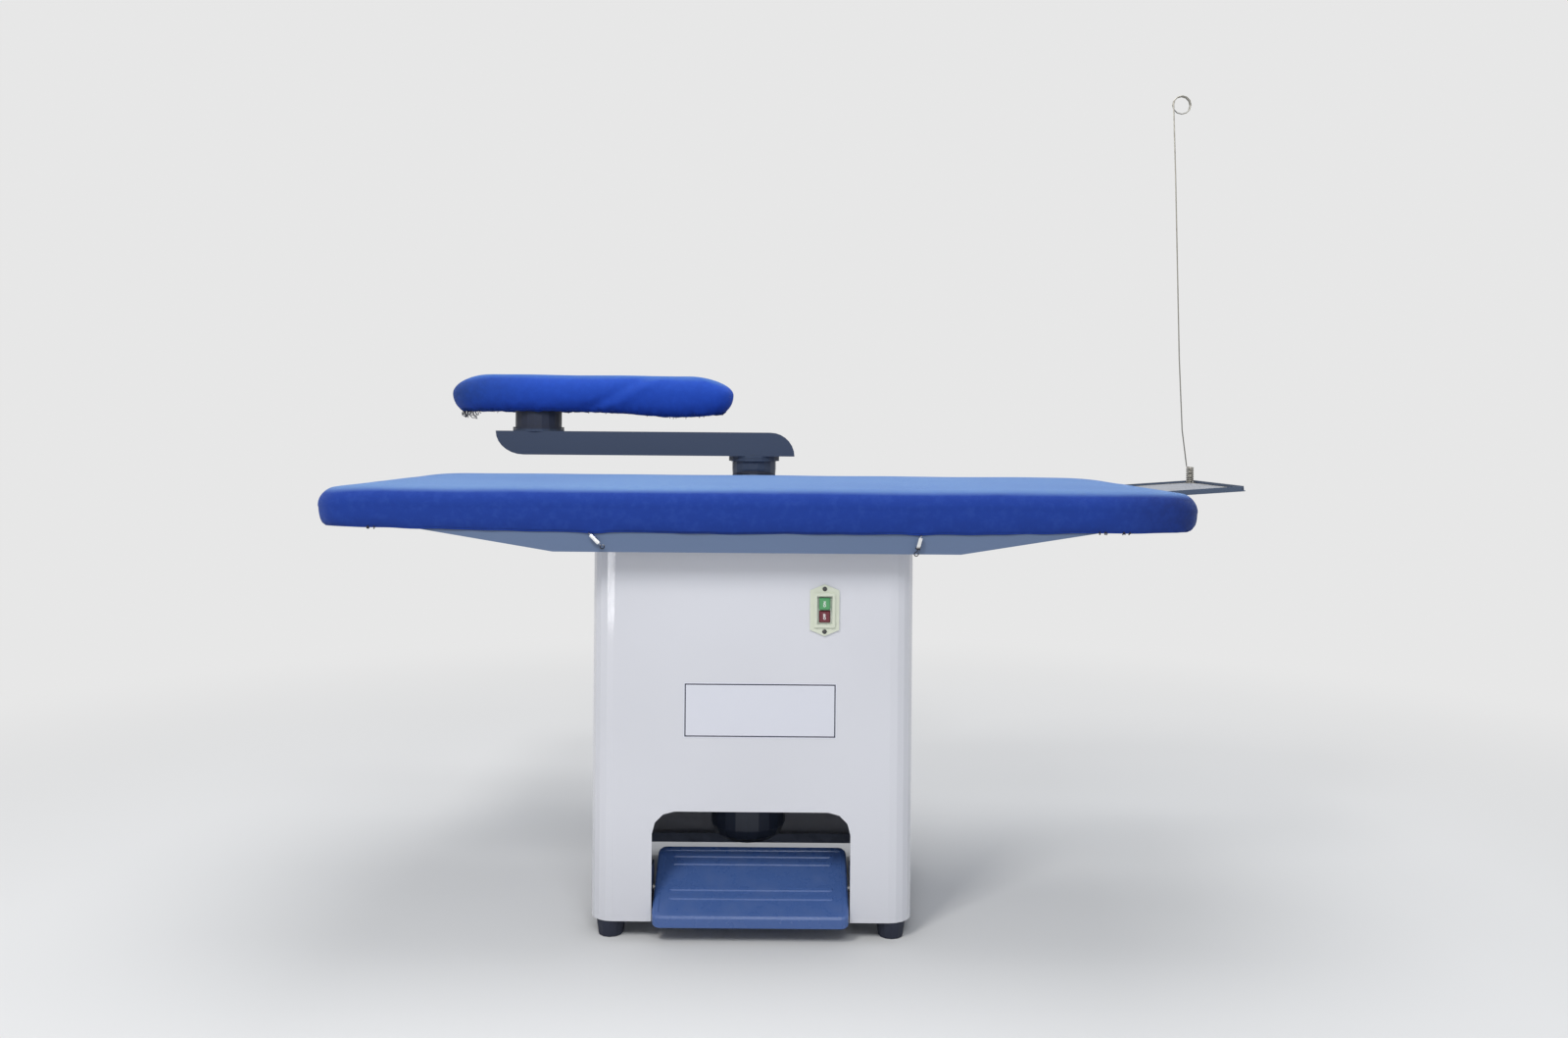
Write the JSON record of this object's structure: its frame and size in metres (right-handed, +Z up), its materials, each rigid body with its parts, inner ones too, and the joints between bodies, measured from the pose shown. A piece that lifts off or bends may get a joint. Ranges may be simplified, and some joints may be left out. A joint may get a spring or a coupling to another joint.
{
  "type": "vacuum ironing table",
  "caption": "Pedal-operated vacuum ironing table with a padded board, a swinging sleeve buck, a blower cabinet and an iron rest with a hose pole.",
  "frame": {"origin": "middle of the model footprint, on the floor", "axes": "+X to the iron rest, along the board; +Y to the back; +Z up"},
  "size_m": [1.8406, 0.9292, 1.7572],
  "materials": {
    "blue_cloth": "matte",
    "buck_cloth": "matte",
    "felt": "matte",
    "slate_paint": "satin",
    "pedal_paint": "satin",
    "cabinet_paint": "satin",
    "zinc": "satin",
    "steel": "satin",
    "bright_steel": "gloss",
    "black_rubber": "matte",
    "dark_paint": "satin",
    "cast_alloy": "satin",
    "cream_plastic": "matte",
    "black_plastic": "matte",
    "green_plastic": "gloss",
    "red_plastic": "gloss",
    "nylon": "matte",
    "silver_mat": "satin"
  },
  "bodies": {
    "root": {"base_frame": "dark_paint", "blower_frame": "dark_paint", "board_cover": "blue_cloth", "board_padding": "felt", "cabinet": "cabinet_paint", "cable_gland": "black_plastic", "cover_hook_left": "bright_steel", "cover_hook_right": "bright_steel", "elbow": "slate_paint", "elbow_seal": "black_rubber", "fixing_lug": "zinc", "foot_front_left": "black_rubber", "foot_front_right": "black_rubber", "foot_rear_left": "black_rubber", "foot_rear_right": "black_rubber", "inlet_duct": "zinc", "iron_tray": "slate_paint", "link_guide": "zinc", "lug_bolt": "zinc", "motor": "dark_paint", "motor_cowl": "dark_paint", "pedal_bracket_left": "dark_paint", "pedal_bracket_right": "dark_paint", "pole_coil": "steel", "pole_stud": "zinc", "rear_panel": "cabinet_paint", "rear_screw_left": "zinc", "rear_screw_right": "zinc", "return_spring": "steel", "scroll": "zinc", "switch_body": "black_plastic", "switch_plate": "cream_plastic", "switch_screw_lower": "zinc", "switch_screw_upper": "zinc", "swivel_screw": "bright_steel", "swivel_washer": "nylon", "tray_bolt_front": "zinc", "tray_bolt_rear": "zinc", "tray_mat": "silver_mat", "vacuum_pan": "slate_paint", "work_grid": "zinc"},
    "arm": {"arm_duct": "slate_paint"},
    "buck": {"buck_post": "slate_paint", "buck_pan": "slate_paint", "buck_grid": "zinc", "buck_padding": "felt", "buck_cover": "buck_cloth"},
    "pedal": {"pedal": "pedal_paint", "pedal_axle": "steel", "axle_clip": "bright_steel", "crank": "zinc"},
    "link": {"link_rod": "zinc"},
    "damper": {"damper_flap": "zinc", "damper_lever": "zinc"},
    "impeller": {"impeller": "cast_alloy", "motor_shaft": "steel", "shaft_nut": "zinc"},
    "on_button": {"on_button": "green_plastic"},
    "off_button": {"off_button": "red_plastic"},
    "pole": {"pole_wire": "steel"}
  },
  "joints": [
    {"name": "arm_swing", "type": "hinge", "parent": "root", "child": "arm", "pos_m": [-0.12526, 0.37036, 0.8906], "axis": [0, 0, 1], "range_deg": [-90, 90]},
    {"name": "buck_swing", "type": "hinge", "parent": "arm", "child": "buck", "pos_m": [-0.66226, 0.37036, 0.9585], "axis": [0, 0, 1], "range_deg": [-170, 170]},
    {"name": "pedal_press", "type": "hinge", "parent": "root", "child": "pedal", "pos_m": [0.12774, -0.34664, 0.08193], "axis": [1, 0, 0], "range_deg": [0, 14], "stiffness_Nm_per_rad": 12, "springref_deg": -8.59, "deforming": ["return_spring"]},
    {"name": "link_foot", "type": "hinge", "parent": "pedal", "child": "link", "pos_m": [0.12774, -0.2073, 0.06482], "axis": [1, 0, 0], "range_deg": [-14, 0]},
    {"name": "damper_turn", "type": "hinge", "parent": "root", "child": "damper", "pos_m": [0.12774, -0.15464, 0.6], "axis": [1, 0, 0], "range_deg": [-36, 0]},
    {"name": "impeller_spin", "type": "hinge", "parent": "root", "child": "impeller", "pos_m": [-0.11926, -0.15464, 0.3443], "axis": [0, 0, 1], "continuous": true},
    {"name": "on_press", "type": "slide", "parent": "root", "child": "on_button", "axis": [0, 1, 0], "range_m": [0, 0.004]},
    {"name": "off_press", "type": "slide", "parent": "root", "child": "off_button", "axis": [0, 1, 0], "range_m": [-0.004, 0]},
    {"name": "pole_bend", "type": "hinge", "parent": "root", "child": "pole", "pos_m": [0.90665, 0.20336, 0.86364], "axis": [0, 1, 0], "range_deg": [-15, 15], "stiffness_Nm_per_rad": 2.5, "deforming": ["pole_coil"]}
  ],
  "couplings": [
    {"joint": "link_foot", "follows": "pedal_press", "ratio": -1},
    {"joint": "damper_turn", "follows": "pedal_press", "ratio": -2.5714},
    {"joint": "off_press", "follows": "on_press", "ratio": -1}
  ]
}
